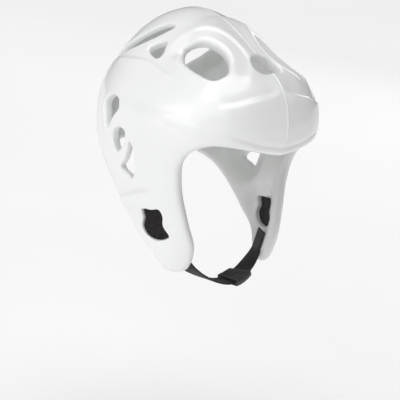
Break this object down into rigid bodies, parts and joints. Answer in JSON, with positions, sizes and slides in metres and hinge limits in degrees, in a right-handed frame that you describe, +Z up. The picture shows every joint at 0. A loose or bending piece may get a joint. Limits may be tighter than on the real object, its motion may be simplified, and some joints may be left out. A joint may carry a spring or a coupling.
{
  "type": "sparring head guard",
  "caption": "Adult sparring head guard: a vented one-piece dipped foam shell with ear meshes and a webbing chin strap.",
  "frame": {"origin": "inside of the crown, where the top of the head sits", "axes": "+X to the wearer's left, the face looks along -Y, +Z up; symmetric about X = 0 apart from the clasp"},
  "size_m": [0.1866, 0.209, 0.2446],
  "materials": {
    "foam": "glossy dipped vinyl skin on foam",
    "ear_fabric": "coarse knitted mesh",
    "webbing": "woven nylon webbing",
    "clasp": "moulded nylon"
  },
  "bodies": {
    "root": {"shell": "foam", "ear_mesh_right": "ear_fabric", "ear_mesh_left": "ear_fabric", "chin_strap": "webbing", "strap_clasp": "clasp"}
  },
  "joints": []
}
